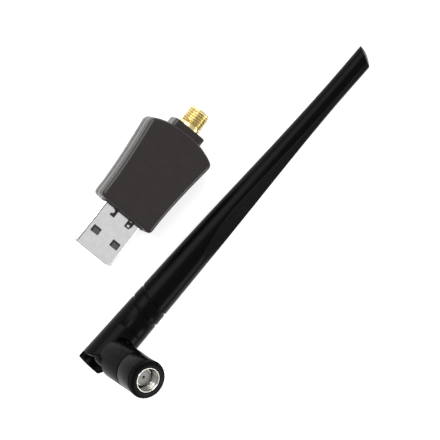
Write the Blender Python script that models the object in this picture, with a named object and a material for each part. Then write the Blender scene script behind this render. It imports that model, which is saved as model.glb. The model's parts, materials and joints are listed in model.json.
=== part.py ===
"""USB Wi-Fi adapter with an RP-SMA jack, and its screw-on elbow antenna lying beside it.

All sizes below are in millimetres; new_object() turns them into metres. The adapter lies flat on its
underside, with the origin at the middle of that face, +Y towards the antenna jack and +Z up. The antenna is
modelled in a frame of its own at its elbow: x along the elbow's pin, y along the whip, z along the nut.
"""
import bpy
import bmesh
from math import asin, atan2, cos, pi, radians, sin, sqrt
from mathutils import Matrix, Vector

MM = 0.001
TOUCH = 0.05            # gap between pieces that rest on each other
RUNNING = 0.05          # radial clearance of a turning fit

# Housing
HOUSING_HALF_LENGTH = 13.4
PLUG_END_HALF_WIDTH = 8.6
JACK_END_HALF_WIDTH = 10.5
FLARE_START_Y = -9.5
ARC_RISE = 2.5          # how far the jack end bows out over its width
PLUG_CORNER = 1.4
JACK_CORNER = 1.6
HOUSING_HEIGHT = 9.0
SPLIT_Z = 3.4           # top of the bottom cover's wall
SPLIT_GAP = 0.1
EDGE_BREAK = 0.2
GROOVE_Z = (6.8, 7.5)
GROOVE_DEPTH = 0.35
TOP_ROUND = 1.1
BOTTOM_BEVEL = 0.9
WALL = 1.3
FLOOR = 1.2
CEILING = 1.3
BOSS_HALF_WIDTH = 4.85
BOSS_LOW_Z = 0.8
BOSS_HIGH_Z = 7.9
BOSS_CORNER = 1.1
BOSS_FRONT_Y = 15.0
BOSS_BACK_Y = 12.0
AXIS_Z = HOUSING_HEIGHT / 2     # the plug's and the jack's shared height

# Circuit board
BOARD_HALF_WIDTH = 6.7
BOARD_Y = (-10.8, 8.5)
BOARD_Z = (2.9, 3.9)
POST_RADIUS = 0.9

# USB plug
PLUG_WIDTH = 12.0
PLUG_HEIGHT = 4.5
PLUG_SHEET = 0.3
PLUG_FRONT_Y = -26.2
PLUG_BACK_Y = -11.0
WINDOW = (2.5, 1.95)            # width and length of the latch windows
WINDOW_X = 3.25
WINDOW_FROM_FRONT = 5.2
REAR_WINDOWS = ((-2.2, 1.5), (2.9, 1.9))        # middle and width of each opening at the plug's root
REAR_WINDOW_LENGTH = 2.2
TONGUE_LOW_Z = 4.6
BLOCK_FRONT_Y = -16.8
CONTACT_X = (-3.5, -1.0, 1.0, 3.5)
CONTACT_WIDTH = 1.0
CONTACT_SHEET = 0.15

# Jack
JACK_TIP_Y = 20.6
JACK_RADIUS = 3.175
JACK_FLANGE_RADIUS = 3.15
JACK_FLANGE_END_Y = 15.9
JACK_BORE_RADIUS = 2.3
THREAD_PITCH = 0.7056           # 36 turns to the inch
THREAD_DEPTH = 0.38
JACK_TURNS = 5
JACK_LINER_RADIUS = 2.1
JACK_PIN_RADIUS = 0.45
JACK_BORE_START_Y = 12.5
JACK_LINER_END_Y = 16.9
JACK_BLOCK_Y = (8.8, 11.5)
JACK_BLOCK_HALF = 3.1

# Where the antenna lies
ELBOW_AT = (20.0, -44.0, 5.35)
WHIP_YAW = radians(3.6)         # turned from +Y towards +X
WHIP_SLOPE = radians(1.4)       # tip down, because the whip tapers and lies on its side
WHIP_ROLL = radians(20.0)       # nut leaning from +Z towards +X

# Whip, measured along y from the elbow's pin
FORK_END_Y = -5.5
FORK_TOP_Y = 7.7
SPIGOT_RADIUS = 3.6             # the fork's plug inside the radome
SPIGOT_END_Y = 12.0
WHIP_TIP_Y = 104.8
WHIP_RADII = ((-5.5, 5.26), (20.0, 4.72), (46.0, 4.02), (72.0, 3.10), (90.0, 2.72), (105.0, 2.78))
FLAT_TURN = radians(12.0)       # the upper flat's normal, turned from z towards x; another lies opposite
FLAT_DISTANCE = 2.7             # of both flats from the axis, so that they widen where the whip is thicker
FLAT_START_Y = 36.0
FLAT_FULL_Y = 53.0
RING_SLANT = (0.0, 0.40)        # fall of a decorative ring towards x and z, per millimetre
TIP_SLANT = (0.28, 0.50)
RING_Y = (14.8, 18.5)
RING_HALF_WIDTH = 0.45
RING_DEPTH = 0.25
RADOME_SEGMENTS = 40
SLEEVE_BORE = 2.55              # inside the radome, round the dipole's sleeve
ROD_BORE = 1.3
SLEEVE_END_Y = 44.0
ROD_BORE_END_Y = 92.0

# Elbow
FORK_BORE = 4.2
FORK_CUT_Z = 3.9                # the side opening's floor, beside the knuckle's barrel
FORK_SLOT_HALF = 2.9
FORK_ARCH_RADIUS = 5.55
FORK_BORE_TOP_Y = 4.9
HEEL_Z = (-2.2, -3.1)           # where the ears' short ends slope out to the long back wall
TONGUE_RADIUS = 3.85
TONGUE_HALF = 2.6
BARREL_RADIUS = 5.08
BARREL_START = 4.2
BARREL_END = 13.75
NECK_HALF = 3.0
PIN_RADIUS = 0.8
PIN_INNER = 1.2
PIN_OUTER = 4.5
COAX_RADIUS = 0.6
COAX_CLEARANCE = 0.3

# Antenna connector, measured along z from the elbow's pin
NUT_START = 13.9
NUT_FACE = 21.3
NUT_RADIUS = 5.05
KNURL_RADIUS = 5.2
KNURL_RIBS = 48
KNURL_Z = (19.9, 21.0)
INSERT_START = 15.7
INSERT_RADIUS = 3.35
INSERT_BORE = 2.85
INSERT_SHOULDER_Z = 17.2
FERRULE_RADIUS = 2.25
FERRULE_START = 10.0
FERRULE_FACE = 19.05
FERRULE_WALL = 0.2
SOCKET_RADIUS = 0.55
RING_GROOVE_Z = (16.15, 16.85)


# ---------------------------------------------------------------- mesh helpers

def loft(rings, closed_loop=False):
    """Skin rings of equal length; cap the two ends, or join the last ring to the first."""
    bm = bmesh.new()
    loops = [[bm.verts.new(point) for point in ring] for ring in rings]
    pairs = list(zip(loops, loops[1:]))
    if closed_loop:
        pairs.append((loops[-1], loops[0]))
    for lower, upper in pairs:
        for i in range(len(lower)):
            j = (i + 1) % len(lower)
            bm.faces.new((lower[i], lower[j], upper[j], upper[i]))
    if not closed_loop:
        bm.faces.new(loops[0])
        bm.faces.new(loops[-1])
    bmesh.ops.recalc_face_normals(bm, faces=bm.faces)
    return bm


def ring_points(radius, height, axis, centre, segments):
    """A circle about the X, Y or Z direction, at a height along it."""
    points = []
    for i in range(segments):
        angle = 2 * pi * i / segments
        u = radius * cos(angle)
        v = radius * sin(angle)
        local = {"X": (height, u, v), "Y": (v, height, u), "Z": (u, v, height)}[axis]
        points.append(Vector(centre) + Vector(local))
    return points


def turned(profile, axis="Z", centre=(0, 0, 0), segments=32, hollow=False):
    """Turn (radius, height) points about an axis: a solid, or a tube whose profile is a closed loop."""
    rings = [ring_points(radius, height, axis, centre, segments) for radius, height in profile]
    return loft(rings, closed_loop=hollow)


def cylinder(radius, low, high, axis="Z", centre=(0, 0, 0), segments=32):
    return turned([(radius, low), (radius, high)], axis, centre, segments)


def prism(outline, low, high, axis):
    """Extrude a 2-D outline along X, Y or Z."""
    def place(point, height):
        u, v = point
        return {"X": (height, u, v), "Y": (u, height, v), "Z": (u, v, height)}[axis]
    return loft([[place(point, height) for point in outline] for height in (low, high)])


def box(low, high):
    outline = [(low[0], low[1]), (high[0], low[1]), (high[0], high[1]), (low[0], high[1])]
    return prism(outline, low[2], high[2], "Z")


def chamfered_box(low, high, edge):
    """A box with its top edges broken, like a moulded package."""
    rings = []
    for z, inset in ((low[2], 0.0), (high[2] - edge, 0.0), (high[2], edge)):
        rings.append([(low[0] + inset, low[1] + inset, z), (high[0] - inset, low[1] + inset, z),
                      (high[0] - inset, high[1] - inset, z), (low[0] + inset, high[1] - inset, z)])
    return loft(rings)


def rounded_rectangle(half_width, low, high, radius, steps=4):
    """Corner points of a rounded rectangle centred on x = 0, anticlockwise from its low right corner."""
    corners = ((half_width - radius, low + radius, -pi / 2), (half_width - radius, high - radius, 0.0),
               (radius - half_width, high - radius, pi / 2), (radius - half_width, low + radius, pi))
    points = []
    for cx, cz, start in corners:
        for i in range(steps + 1):
            angle = start + pi / 2 * i / steps
            points.append((cx + radius * cos(angle), cz + radius * sin(angle)))
    return points


def fillet(before, corner, after, size, steps=4):
    """Points of a smooth curve that cuts a corner, starting and ending size away from it."""
    corner = Vector(corner)
    start = corner + (Vector(before) - corner).normalized() * size
    end = corner + (Vector(after) - corner).normalized() * size
    points = []
    for i in range(steps + 1):
        t = i / steps
        points.append(tuple((1 - t) ** 2 * start + 2 * t * (1 - t) * corner + t ** 2 * end))
    return points


def smooth_value(knots, position):
    """Value at a position on a smooth curve through (position, value) knots."""
    slopes = []
    for i in range(len(knots)):
        low = knots[max(i - 1, 0)]
        high = knots[min(i + 1, len(knots) - 1)]
        slopes.append((high[1] - low[1]) / (high[0] - low[0]))
    i = 0
    while i < len(knots) - 2 and position > knots[i + 1][0]:
        i += 1
    (x0, y0), (x1, y1) = knots[i], knots[i + 1]
    width = x1 - x0
    t = (position - x0) / width
    rise = (2 * t ** 3 - 3 * t ** 2 + 1) * y0 + (3 * t ** 2 - 2 * t ** 3) * y1
    return rise + (t ** 3 - 2 * t ** 2 + t) * width * slopes[i] + (t ** 3 - t ** 2) * width * slopes[i + 1]


# ---------------------------------------------------------------- objects and materials

MATERIALS = {}


def material(name, colour, roughness, metallic=0.0):
    """A Principled material, made once and shared by the pieces of that finish."""
    if name not in MATERIALS:
        new = bpy.data.materials.new(name)
        new.use_nodes = True
        shader = new.node_tree.nodes["Principled BSDF"]
        shader.inputs["Base Color"].default_value = (*colour, 1.0)
        shader.inputs["Roughness"].default_value = roughness
        shader.inputs["Metallic"].default_value = metallic
        MATERIALS[name] = new
    return MATERIALS[name]


FINISHES = {
    "housing_plastic": ((0.045, 0.04, 0.038), 0.45, 0.0),
    "antenna_plastic": ((0.012, 0.012, 0.012), 0.5, 0.0),
    "black_plastic": ((0.02, 0.02, 0.02), 0.6, 0.0),
    "plug_steel": ((0.75, 0.75, 0.74), 0.22, 1.0),
    "nickel": ((0.66, 0.65, 0.62), 0.18, 1.0),
    "gold": ((0.83, 0.62, 0.27), 0.25, 1.0),
    "brass": ((0.72, 0.52, 0.24), 0.35, 1.0),
    "steel": ((0.5, 0.5, 0.5), 0.35, 1.0),
    "ptfe": ((0.82, 0.81, 0.77), 0.4, 0.0),
    "silicone": ((0.35, 0.08, 0.05), 0.6, 0.0),
    "board_green": ((0.02, 0.12, 0.05), 0.4, 0.0),
    "chip_epoxy": ((0.015, 0.015, 0.016), 0.5, 0.0),
    "coax_jacket": ((0.05, 0.05, 0.05), 0.55, 0.0),
}


def new_object(name, bm, finish, parent=None):
    """Turn a mesh in millimetres into a named object in metres."""
    bmesh.ops.scale(bm, vec=(MM, MM, MM), verts=bm.verts)
    mesh = bpy.data.meshes.new(name)
    bm.to_mesh(mesh)
    bm.free()
    mesh.shade_smooth()
    mesh.set_sharp_from_angle(angle=radians(30))
    if finish:
        mesh.materials.append(material(finish, *FINISHES[finish]))
    new = bpy.data.objects.new(name, mesh)
    bpy.context.collection.objects.link(new)
    new.parent = parent
    return new


def shape(target, bm, operation):
    """Join a mesh to the target, or cut it away, with a Boolean modifier."""
    index = len(target.modifiers)
    tool = new_object(f"{target.name}_tool_{index}", bm, None, target.parent)
    tool.hide_render = True
    tool.display_type = "WIRE"
    modifier = target.modifiers.new(f"{operation.lower()}_{index}", "BOOLEAN")
    modifier.operation = operation
    modifier.object = tool


def cut(target, bm):
    shape(target, bm, "DIFFERENCE")


def join(target, bm):
    shape(target, bm, "UNION")


# ---------------------------------------------------------------- housing

def arc_y(x, inset):
    """Height of the bowed jack end at x, moved inwards by inset."""
    radius = (JACK_END_HALF_WIDTH ** 2 + ARC_RISE ** 2) / (2 * ARC_RISE)
    return HOUSING_HALF_LENGTH - radius + sqrt((radius - inset) ** 2 - x ** 2)


def housing_outline(inset):
    """Plan outline of the housing, moved inwards by inset, anticlockwise from the middle of the plug end."""
    corner_y = HOUSING_HALF_LENGTH - ARC_RISE
    plug_y = inset - HOUSING_HALF_LENGTH
    plug_x = PLUG_END_HALF_WIDTH - inset
    side = []
    flare_steps = 7
    for i in range(flare_steps + 1):
        t = i / flare_steps
        y = FLARE_START_Y + (corner_y - FLARE_START_Y) * t
        side.append((plug_x + (JACK_END_HALF_WIDTH - PLUG_END_HALF_WIDTH) * t ** 1.5, y))
    jack_x = side[-1][0]
    arc_steps = 5
    arc = []
    for i in range(arc_steps):
        x = jack_x * 0.8 * (1 - i / arc_steps)
        arc.append((x, arc_y(x, inset)))
    right = fillet((0, plug_y), (plug_x, plug_y), side[0], max(PLUG_CORNER - inset, 0.3))
    right += side[:-1]
    right += fillet(side[-2], (jack_x, arc_y(jack_x, inset)), arc[0], max(JACK_CORNER - inset, 0.3))
    right += arc
    left = [(-x, y) for x, y in reversed(right)]
    return right + [(0, arc_y(0, inset))] + left


def housing_loft(levels):
    """Skin the housing outline through (height, inset) levels."""
    return loft([[(x, y, z) for x, y in housing_outline(inset)] for z, inset in levels])


def boss(low, high):
    """The part of the boss around the jack that lies between two heights."""
    outline = rounded_rectangle(BOSS_HALF_WIDTH, BOSS_LOW_Z, BOSS_HIGH_Z, BOSS_CORNER)
    kept = [(x, z) for x, z in outline if low < z < high]
    ends = [(BOSS_HALF_WIDTH, high if low < BOSS_LOW_Z else low)]
    ends.append((-ends[0][0], ends[0][1]))
    if low < BOSS_LOW_Z:
        bottom_left = [point for point in kept if point[0] < 0]
        bottom_right = [point for point in kept if point[0] > 0]
        kept = bottom_left + bottom_right + ends
    else:
        kept = [ends[0]] + kept + [ends[1]]
    return prism(kept, BOSS_BACK_Y, BOSS_FRONT_Y, "Y")


def jack_bore():
    return cylinder(JACK_RADIUS + 0.12, 10.0, 16.0, "Y", (0, 0, AXIS_Z), 32)


def plug_opening():
    """The opening that both covers leave for the plug."""
    half = PLUG_WIDTH / 2 + 0.1
    low = (-half, -HOUSING_HALF_LENGTH - 1.0, AXIS_Z - PLUG_HEIGHT / 2 - 0.1)
    high = (half, PLUG_BACK_Y, AXIS_Z + PLUG_HEIGHT / 2 + 0.1)
    return box(low, high)


def make_bottom_cover():
    """A shallow tray with posts that carry the board."""
    levels = ((0.0, BOTTOM_BEVEL), (BOTTOM_BEVEL, 0.0), (SPLIT_Z - EDGE_BREAK, 0.0), (SPLIT_Z, EDGE_BREAK))
    cover = new_object("bottom_cover", housing_loft(levels), "housing_plastic")
    join(cover, boss(BOSS_LOW_Z - 1.0, SPLIT_Z))
    cut(cover, housing_loft(((FLOOR, WALL), (SPLIT_Z + 1.0, WALL))))
    cut(cover, jack_bore())
    cut(cover, plug_opening())
    for x in (-5.4, 5.4):
        for y in (-8.0, 5.5):
            join(cover, cylinder(POST_RADIUS, FLOOR - 0.3, BOARD_Z[0] - TOUCH, "Z", (x, y, 0), 12))


def make_top_cover():
    """The deep upper shell, with a groove round its wall and a rounded edge round its flat top."""
    split = SPLIT_Z + SPLIT_GAP
    levels = [(split, EDGE_BREAK), (split + EDGE_BREAK, 0.0)]
    levels += [(GROOVE_Z[0], 0.0), (GROOVE_Z[0] + 0.12, GROOVE_DEPTH)]
    levels += [(GROOVE_Z[1] - 0.12, GROOVE_DEPTH), (GROOVE_Z[1], 0.0)]
    round_steps = 3
    for i in range(round_steps + 1):
        angle = pi / 2 * i / round_steps
        levels.append((HOUSING_HEIGHT - TOP_ROUND * (1 - sin(angle)), TOP_ROUND * (1 - cos(angle))))
    cover = new_object("top_cover", housing_loft(levels), "housing_plastic")
    join(cover, boss(split, BOSS_HIGH_Z + 1.0))
    cut(cover, housing_loft(((SPLIT_Z - 1.0, WALL), (HOUSING_HEIGHT - CEILING, WALL))))
    cut(cover, jack_bore())
    cut(cover, plug_opening())


# ---------------------------------------------------------------- circuit board

def make_board():
    low = (-BOARD_HALF_WIDTH, BOARD_Y[0], BOARD_Z[0])
    high = (BOARD_HALF_WIDTH, BOARD_Y[1], BOARD_Z[1])
    new_object("circuit_board", box(low, high), "board_green")


def make_component(name, centre, size, finish):
    """A package soldered to the board's upper face."""
    x, y = centre
    width, length, height = size
    base = BOARD_Z[1] + TOUCH
    low = (x - width / 2, y - length / 2, base)
    high = (x + width / 2, y + length / 2, base + height)
    new_object(name, chamfered_box(low, high, 0.15), finish)


def make_components():
    make_component("wifi_chip", (0.0, -2.6), (6.0, 6.0, 0.9), "chip_epoxy")
    make_component("crystal", (4.9, -3.0), (2.0, 2.5, 0.6), "nickel")
    make_component("power_inductor", (-4.8, -6.6), (3.0, 3.0, 1.2), "black_plastic")
    make_component("voltage_regulator", (-5.0, -2.6), (1.6, 2.9, 1.1), "chip_epoxy")
    make_component("rf_front_end_chip", (0.0, 3.6), (3.0, 3.0, 0.75), "chip_epoxy")
    make_component("memory_chip", (4.2, 2.2), (3.0, 2.0, 0.6), "chip_epoxy")


# ---------------------------------------------------------------- USB plug

def make_usb_shell():
    """Folded sheet round the plug, with latch windows on both faces and two openings at its root."""
    low = AXIS_Z - PLUG_HEIGHT / 2
    high = AXIS_Z + PLUG_HEIGHT / 2
    outer = rounded_rectangle(PLUG_WIDTH / 2, low, high, 0.5, 3)
    inner = rounded_rectangle(PLUG_WIDTH / 2 - PLUG_SHEET, low + PLUG_SHEET, high - PLUG_SHEET, 0.2, 3)
    rings = []
    front, back = PLUG_FRONT_Y, PLUG_BACK_Y
    for outline, y in ((outer, front), (outer, back), (inner, back), (inner, front)):
        rings.append([(x, y, z) for x, z in outline])
    shell = new_object("usb_shell", loft(rings, closed_loop=True), "plug_steel")
    window_y = PLUG_FRONT_Y + WINDOW_FROM_FRONT
    for x in (-WINDOW_X, WINDOW_X):
        for face in (low, high):
            cut(shell, box((x - WINDOW[0] / 2, window_y - WINDOW[1] / 2, face - 0.45),
                           (x + WINDOW[0] / 2, window_y + WINDOW[1] / 2, face + 0.45)))
    rear_end = -HOUSING_HALF_LENGTH - 0.1
    for x, width in REAR_WINDOWS:
        cut(shell, box((x - width / 2, rear_end - REAR_WINDOW_LENGTH, high - 0.45),
                       (x + width / 2, rear_end, high + 0.45)))


def make_usb_insulator():
    """A tongue along the plug's upper face, and a block that closes its root."""
    low_z = AXIS_Z - PLUG_HEIGHT / 2 + PLUG_SHEET + 0.08
    high_z = AXIS_Z + PLUG_HEIGHT / 2 - PLUG_SHEET - 0.08
    front = PLUG_FRONT_Y + 0.5
    back = PLUG_BACK_Y - 0.1
    outline = [(front, high_z), (back, high_z), (back, low_z), (BLOCK_FRONT_Y, low_z),
               (BLOCK_FRONT_Y, TONGUE_LOW_Z), (front + 0.4, TONGUE_LOW_Z), (front, TONGUE_LOW_Z + 0.4)]
    half = PLUG_WIDTH / 2 - PLUG_SHEET - 0.1
    insulator = new_object("usb_insulator", prism(outline, -half, half, "X"), "black_plastic")
    slot_half = CONTACT_WIDTH / 2 + 0.1
    for x in CONTACT_X:
        cut(insulator, box((x - slot_half, BLOCK_FRONT_Y - 0.5, TONGUE_LOW_Z - 0.5),
                           (x + slot_half, back + 0.5, TONGUE_LOW_Z + 0.6)))


def make_usb_contacts():
    """Four strips that lie under the tongue, run through the block and step down to the board."""
    tongue = TONGUE_LOW_Z - TOUCH - CONTACT_SHEET
    board = BOARD_Z[1] + TOUCH
    back = PLUG_BACK_Y
    path = [(PLUG_FRONT_Y + 1.2, tongue), (back - 0.4, tongue), (back + 0.6, board), (back + 1.8, board)]
    outline = path + [(y, z + CONTACT_SHEET) for y, z in reversed(path)]
    for number, x in enumerate(CONTACT_X, start=1):
        strip = prism(outline, x - CONTACT_WIDTH / 2, x + CONTACT_WIDTH / 2, "X")
        new_object(f"usb_contact_{number}", strip, "gold")


# ---------------------------------------------------------------- antenna jack

def thread_profile(start, turns, crest, depth):
    """Crests and roots of a thread, as rings one pitch apart."""
    points = []
    for i in range(turns):
        base = start + i * THREAD_PITCH
        points.append((crest - depth, base))
        points.append((crest, base + THREAD_PITCH * 0.42))
        points.append((crest, base + THREAD_PITCH * 0.58))
    points.append((crest - depth, start + turns * THREAD_PITCH))
    return points


def make_jack():
    """Gold-plated jack: a block on the board's edge, a round neck through the boss, and the thread."""
    centre = (0, 0, AXIS_Z)
    profile = [(JACK_FLANGE_RADIUS, JACK_BLOCK_Y[1] - 0.5), (JACK_FLANGE_RADIUS, JACK_FLANGE_END_Y)]
    profile += thread_profile(JACK_FLANGE_END_Y + 0.3, JACK_TURNS, JACK_RADIUS, THREAD_DEPTH)
    profile += [(JACK_RADIUS - 0.35, JACK_TIP_Y - 0.25), (JACK_RADIUS - 0.55, JACK_TIP_Y)]
    body = new_object("jack_body", turned(profile, "Y", centre, 32), "gold")
    half = JACK_BLOCK_HALF
    join(body, box((-half, JACK_BLOCK_Y[0], AXIS_Z - half), (half, JACK_BLOCK_Y[1], AXIS_Z + half)))
    cut(body, cylinder(JACK_BORE_RADIUS, 16.0, JACK_TIP_Y + 1.0, "Y", centre, 32))
    cut(body, cylinder(JACK_LINER_RADIUS, JACK_BORE_START_Y, 16.5, "Y", centre, 32))
    cut(body, cylinder(1.0, JACK_BLOCK_Y[0] - 1.0, JACK_BORE_START_Y + 0.5, "Y", centre, 20))
    outer = JACK_LINER_RADIUS - TOUCH
    inner = JACK_PIN_RADIUS + TOUCH
    low = JACK_BORE_START_Y + 0.1
    dielectric = [(outer, low), (outer, JACK_LINER_END_Y), (inner, JACK_LINER_END_Y), (inner, low)]
    new_object("jack_dielectric", turned(dielectric, "Y", centre, 24, hollow=True), "ptfe")
    pin = [(JACK_PIN_RADIUS, 7.4), (JACK_PIN_RADIUS, 19.5), (0.2, 19.9)]
    new_object("jack_centre_pin", turned(pin, "Y", centre, 16), "gold")


# ---------------------------------------------------------------- antenna frame

def antenna_frames():
    """Empties on the elbow's pin: one for the whip, and one on it for what turns with the knuckle."""
    along = Vector((sin(WHIP_YAW) * cos(WHIP_SLOPE), cos(WHIP_YAW) * cos(WHIP_SLOPE), -sin(WHIP_SLOPE)))
    upright = (Vector((0, 0, 1)) - along * along.z).normalized()
    sideways = along.cross(upright)
    nut_way = upright * cos(WHIP_ROLL) + sideways * sin(WHIP_ROLL)
    pin_way = along.cross(nut_way)
    whip = bpy.data.objects.new("whip_frame", None)
    bpy.context.collection.objects.link(whip)
    turn = Matrix((pin_way, along, nut_way)).transposed()
    whip.matrix_world = Matrix.Translation(Vector(ELBOW_AT) * MM) @ turn.to_4x4()
    knuckle = bpy.data.objects.new("knuckle_frame", None)
    bpy.context.collection.objects.link(knuckle)
    knuckle.parent = whip
    return whip, knuckle


# ---------------------------------------------------------------- whip

def whip_radius(y):
    return smooth_value(WHIP_RADII, y)


def flat_distance(y):
    """Distance of the two flats from the axis; they run out of the round part in a smooth curve."""
    if y < FLAT_START_Y:
        return whip_radius(y)
    t = min((y - FLAT_START_Y) / (FLAT_FULL_Y - FLAT_START_Y), 1.0)
    outside = whip_radius(FLAT_START_Y)
    return outside + (FLAT_DISTANCE - outside) * (2 * t - t * t)


def whip_section(y, radius, slant):
    """A ring of the whip: a circle cut by two opposite flats, slanted towards x and z."""
    limit = flat_distance(y)
    points = []
    for i in range(RADOME_SEGMENTS):
        angle = 2 * pi * i / RADOME_SEGMENTS
        across = abs(cos(angle - FLAT_TURN))
        reach = min(radius, limit / max(across, 0.1))
        x = reach * sin(angle)
        z = reach * cos(angle)
        points.append((x, y - slant[0] * x - slant[1] * z, z))
    return points


def radome_stations():
    """(y, radius, slant) of each ring from the fork's end to the tip."""
    square = (0.0, 0.0)
    stations = [(FORK_TOP_Y + SPLIT_GAP, whip_radius(FORK_TOP_Y) - EDGE_BREAK, square)]
    stations.append((FORK_TOP_Y + SPLIT_GAP + EDGE_BREAK, whip_radius(FORK_TOP_Y), square))
    for ring in RING_Y:
        radius = whip_radius(ring)
        edge = RING_HALF_WIDTH
        stations.append((ring - edge, radius, RING_SLANT))
        stations.append((ring - edge / 3, radius - RING_DEPTH, RING_SLANT))
        stations.append((ring + edge / 3, radius - RING_DEPTH, RING_SLANT))
        stations.append((ring + edge, radius, RING_SLANT))
    y = 24.0
    step = 6.0
    while y < WHIP_TIP_Y - 4.0:
        t = (y - RING_Y[1]) / (WHIP_TIP_Y - RING_Y[1])
        slant = tuple(ring + (tip - ring) * t for ring, tip in zip(RING_SLANT, TIP_SLANT))
        stations.append((y, whip_radius(y), slant))
        y += step
    stations.append((WHIP_TIP_Y - 0.35, whip_radius(WHIP_TIP_Y), TIP_SLANT))
    stations.append((WHIP_TIP_Y, whip_radius(WHIP_TIP_Y) - 0.35, TIP_SLANT))
    return stations


def make_radome(frame):
    """The long hollow cover, stepped inside so that the wall stays thick as it tapers."""
    rings = [whip_section(y, radius, slant) for y, radius, slant in radome_stations()]
    radome = new_object("radome", loft(rings), "antenna_plastic", frame)
    spigot = SPIGOT_RADIUS + TOUCH
    step = SPIGOT_END_Y + 0.3
    hollow = [(spigot, FORK_TOP_Y - 1.0), (spigot, step), (SLEEVE_BORE, step + 0.1),
              (SLEEVE_BORE, SLEEVE_END_Y + 0.6), (ROD_BORE, SLEEVE_END_Y + 1.2), (ROD_BORE, ROD_BORE_END_Y)]
    cut(radome, turned(hollow, "Y", (0, 0, 0), 24))


def make_dipole(frame):
    """The cable up the whip, the quarter-wave sleeve over it and the rod beyond its end."""
    coax = [(COAX_RADIUS, 4.4), (COAX_RADIUS, 45.0)]
    new_object("whip_coax", turned(coax, "Y", (0, 0, 0), 12), "coax_jacket", frame)
    sleeve = [(2.3, 15.0), (2.3, SLEEVE_END_Y), (1.9, SLEEVE_END_Y), (1.9, 15.0)]
    new_object("dipole_sleeve", turned(sleeve, "Y", (0, 0, 0), 20, hollow=True), "brass", frame)
    rod = [(0.5, 45.3), (0.5, 75.0)]
    new_object("radiator_rod", turned(rod, "Y", (0, 0, 0), 12), "brass", frame)


def fork_end_outline():
    """Everything below the fork's ends, seen along the pin: round ears, then a slope to the back wall."""
    points = [(-FORK_CUT_Z, HEEL_Z[0]), (-FORK_CUT_Z, 0.0)]
    steps = 10
    for i in range(1, steps + 1):
        angle = pi - pi / 2 * i / steps
        points.append((FORK_CUT_Z * cos(angle), FORK_CUT_Z * sin(angle)))
    far = 9.0
    points += [(0.0, far), (-far, far), (-far, HEEL_Z[1]), (FORK_END_Y, HEEL_Z[1])]
    return points


def make_hinge_fork(frame):
    """The whip's lower end: a hood with two ears, open to one side and at its end for the knuckle."""
    top = whip_radius(FORK_TOP_Y)
    profile = [(whip_radius(FORK_END_Y) - 0.3, FORK_END_Y), (whip_radius(FORK_END_Y), FORK_END_Y + 0.3),
               (whip_radius(0.0), 0.0), (top, FORK_TOP_Y - EDGE_BREAK), (top - EDGE_BREAK, FORK_TOP_Y),
               (SPIGOT_RADIUS, FORK_TOP_Y), (SPIGOT_RADIUS, SPIGOT_END_Y)]
    fork = new_object("hinge_fork", turned(profile, "Y", (0, 0, 0), 48), "antenna_plastic", frame)
    cut(fork, cylinder(FORK_BORE, FORK_END_Y - 1.0, FORK_BORE_TOP_Y, "Y", (0, 0, 0), 36))
    cut(fork, cylinder(FORK_ARCH_RADIUS, FORK_CUT_Z, 8.0, "Z", (0, 0, 0), 48))
    slot = FORK_SLOT_HALF
    cut(fork, box((-slot, -9.0, 0.5), (slot, FORK_BORE_TOP_Y - 0.1, 8.0)))
    for side in (-1, 1):
        reach = sorted((side * (TONGUE_HALF + 0.12), side * (FORK_BORE + 0.3)))
        join(fork, cylinder(2.0, reach[0], reach[1], "X", (0, 0, 0), 20))
    cut(fork, prism(fork_end_outline(), -8.0, 8.0, "X"))
    bore = PIN_RADIUS + RUNNING
    cut(fork, cylinder(bore, -PIN_OUTER - 0.1, PIN_OUTER + 0.1, "X", (0, 0, 0), 20))
    cut(fork, cylinder(COAX_RADIUS + COAX_CLEARANCE, 4.0, 13.0, "Y", (0, 0, 0), 16))


def make_hinge_pins(frame):
    """Two short pins, one in each ear, so that the cable passes between them."""
    for name, side in (("hinge_pin_left", -1), ("hinge_pin_right", 1)):
        reach = sorted((side * PIN_INNER, side * PIN_OUTER))
        new_object(name, cylinder(PIN_RADIUS, reach[0], reach[1], "X", (0, 0, 0), 20), "steel", frame)


# ---------------------------------------------------------------- knuckle

def relief_outline():
    """The barrel's inner corner that would meet the fork's back wall when straight, seen along the pin."""
    gap = 0.3
    inner = BARREL_START - 1.0
    start = HEEL_Z[0] + gap
    end = HEEL_Z[1] + gap
    depth = -FORK_END_Y + gap
    return [(start, BARREL_START), (end, depth), (-7.0, depth), (-7.0, inner), (start, inner)]


def make_knuckle(frame):
    """A round barrel with a ball-shaped tongue that turns between the fork's ears."""
    barrel = [(BARREL_RADIUS - 0.15, BARREL_START), (BARREL_RADIUS, BARREL_START + 0.15),
              (BARREL_RADIUS, BARREL_END - EDGE_BREAK), (BARREL_RADIUS - EDGE_BREAK, BARREL_END)]
    knuckle = new_object("knuckle", turned(barrel, "Z", (0, 0, 0), 48), "antenna_plastic", frame)
    cut(knuckle, prism(relief_outline(), -8.0, 8.0, "X"))
    ball = []
    steps = 12
    limit = asin(TONGUE_HALF / TONGUE_RADIUS)
    for i in range(steps + 1):
        angle = -limit + 2 * limit * i / steps
        ball.append((TONGUE_RADIUS * cos(angle), TONGUE_RADIUS * sin(angle)))
    join(knuckle, turned(ball, "X", (0, 0, 0), 32))
    join(knuckle, box((-TONGUE_HALF, 1.2 - NECK_HALF, 0.0), (TONGUE_HALF, NECK_HALF, BARREL_START + 0.5)))
    passage = COAX_RADIUS + COAX_CLEARANCE
    cut(knuckle, box((-passage, -passage, -6.0), (passage, 6.0, passage)))
    cut(knuckle, cylinder(passage, -1.0, BARREL_END + 1.0, "Z", (0, 0, 0), 16))
    seat = FERRULE_START - TOUCH
    cut(knuckle, cylinder(FERRULE_RADIUS + TOUCH, seat, BARREL_END + 1.0, "Z", (0, 0, 0), 24))
    cut(knuckle, cylinder(PIN_RADIUS + RUNNING, -6.0, 6.0, "X", (0, 0, 0), 20))


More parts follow.
